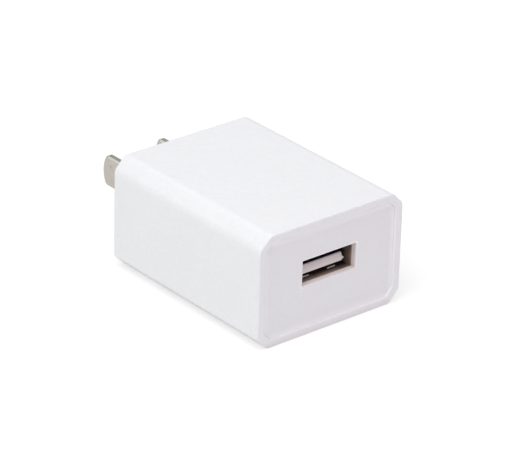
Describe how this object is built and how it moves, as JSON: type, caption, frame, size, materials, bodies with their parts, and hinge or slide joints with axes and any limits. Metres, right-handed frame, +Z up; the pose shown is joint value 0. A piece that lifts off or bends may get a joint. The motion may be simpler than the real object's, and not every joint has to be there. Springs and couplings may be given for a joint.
{
  "type": "usb wall charger",
  "caption": "Small block wall charger: white casing with cut corners, sunk front plate with a USB-A socket, and a fixed flat-blade plug on the rear face.",
  "frame": {"origin": "centre of the plug face, the flat rear face that meets the wall outlet, midway between the two blades", "axes": "+Y out of the plug face along the blades, +Z up with the socket's contacts on top of its tongue, +X to the right as the socket is faced; the socket opens towards -Y"},
  "size_m": [0.0342, 0.0592, 0.0228],
  "materials": {
    "casing_white": "white moulded polycarbonate, fine satin texture with a soft sheen",
    "plate_white": "white moulded polycarbonate, fine matt texture",
    "blade_nickel": "nickel plating over brass, drawn along the blade, bevelled tip",
    "carrier_nylon": "natural glass-filled nylon, matt",
    "insulation_film": "grey vulcanised fibre sheet, matt",
    "spring_bronze": "tin-flashed phosphor bronze, rolled",
    "socket_nickel": "nickel-plated steel sheet, satin",
    "socket_nylon": "off-white nylon, fine matt",
    "contact_gold": "gold-flashed phosphor bronze, polished at the crest",
    "ferrite": "sintered ferrite, dark grey, fine grain",
    "bobbin_phenolic": "black phenolic, matt",
    "winding_tape": "yellow polyester tape, overlapping turns",
    "core_band": "yellow polyester tape, one lapped turn",
    "tinned_wire": "tinned copper with solder at the board",
    "bulk_can": "black shrink sleeve with a pale stripe, bare aluminium at the vented end",
    "output_can": "dark green shrink sleeve with a gold stripe, bare aluminium at the vented end",
    "choke_drum": "ferrite drum in a clear-lacquered copper winding and shrink sleeve",
    "disc_epoxy": "blue epoxy dip, slightly uneven",
    "fuse_coat": "flameproof cement coat with colour bands",
    "package_black": "black moulded epoxy, fine matt",
    "chip_black": "black glazed resistor body with tinned ends",
    "chip_tan": "tan ceramic body with tinned ends",
    "board_laminate": "glass-epoxy laminate with green solder mask and tinned pads"
  },
  "bodies": {
    "charger": {"housing_shell": "casing_white", "front_plate": "plate_white", "blade_carrier": "carrier_nylon", "insulation_sheet": "insulation_film", "blade_left": "blade_nickel", "tail_spring_left": "spring_bronze", "blade_right": "blade_nickel", "tail_spring_right": "spring_bronze", "usb_shell": "socket_nickel", "usb_insulator": "socket_nylon", "contact_tails": "contact_gold", "transformer_core_front": "ferrite", "transformer_core_rear": "ferrite", "transformer_bobbin": "bobbin_phenolic", "transformer_winding": "winding_tape", "transformer_tape": "core_band", "transformer_pins": "tinned_wire", "bulk_capacitor_front": "bulk_can", "bulk_capacitor_rear": "bulk_can", "output_capacitor_left": "output_can", "output_capacitor_right": "output_can", "filter_choke": "choke_drum", "safety_capacitor": "disc_epoxy", "fuse_resistor": "fuse_coat", "bridge_rectifier": "package_black", "control_chip": "package_black", "clamp_diode": "package_black", "output_diode": "package_black", "chip_resistors": "chip_black", "chip_capacitors": "chip_tan", "circuit_board": "board_laminate"},
    "contact_power_body": {"contact_power": "contact_gold"},
    "contact_data_minus_body": {"contact_data_minus": "contact_gold"},
    "contact_data_plus_body": {"contact_data_plus": "contact_gold"},
    "contact_ground_body": {"contact_ground": "contact_gold"},
    "grip_finger_top_left_body": {"grip_finger_top_left": "socket_nickel"},
    "grip_finger_top_right_body": {"grip_finger_top_right": "socket_nickel"},
    "grip_finger_bottom_left_body": {"grip_finger_bottom_left": "socket_nickel"},
    "grip_finger_bottom_right_body": {"grip_finger_bottom_right": "socket_nickel"}
  },
  "joints": [
    {"name": "contact_power_flex", "type": "hinge", "parent": "charger", "child": "contact_power_body", "pos_m": [-0.0035, -0.03107, 0.00083], "axis": [1, 0, 0], "range_deg": [0, 4], "stiffness_Nm_per_rad": 0.05},
    {"name": "contact_data_minus_flex", "type": "hinge", "parent": "charger", "child": "contact_data_minus_body", "pos_m": [-0.001, -0.03107, 0.00083], "axis": [1, 0, 0], "range_deg": [0, 4], "stiffness_Nm_per_rad": 0.05},
    {"name": "contact_data_plus_flex", "type": "hinge", "parent": "charger", "child": "contact_data_plus_body", "pos_m": [0.001, -0.03107, 0.00083], "axis": [1, 0, 0], "range_deg": [0, 4], "stiffness_Nm_per_rad": 0.05},
    {"name": "contact_ground_flex", "type": "hinge", "parent": "charger", "child": "contact_ground_body", "pos_m": [0.0035, -0.03107, 0.00083], "axis": [1, 0, 0], "range_deg": [0, 4], "stiffness_Nm_per_rad": 0.05},
    {"name": "grip_finger_top_left_flex", "type": "hinge", "parent": "charger", "child": "grip_finger_top_left_body", "pos_m": [-0.00315, -0.03256, 0.00379], "axis": [-1, 0, 0], "range_deg": [0, 2.5], "stiffness_Nm_per_rad": 0.8},
    {"name": "grip_finger_top_right_flex", "type": "hinge", "parent": "charger", "child": "grip_finger_top_right_body", "pos_m": [0.00315, -0.03256, 0.00379], "axis": [-1, 0, 0], "range_deg": [0, 2.5], "stiffness_Nm_per_rad": 0.8},
    {"name": "grip_finger_bottom_left_flex", "type": "hinge", "parent": "charger", "child": "grip_finger_bottom_left_body", "pos_m": [-0.00315, -0.03256, -0.00163], "axis": [1, 0, 0], "range_deg": [0, 2.5], "stiffness_Nm_per_rad": 0.8},
    {"name": "grip_finger_bottom_right_flex", "type": "hinge", "parent": "charger", "child": "grip_finger_bottom_right_body", "pos_m": [0.00315, -0.03256, -0.00163], "axis": [1, 0, 0], "range_deg": [0, 2.5], "stiffness_Nm_per_rad": 0.8}
  ]
}
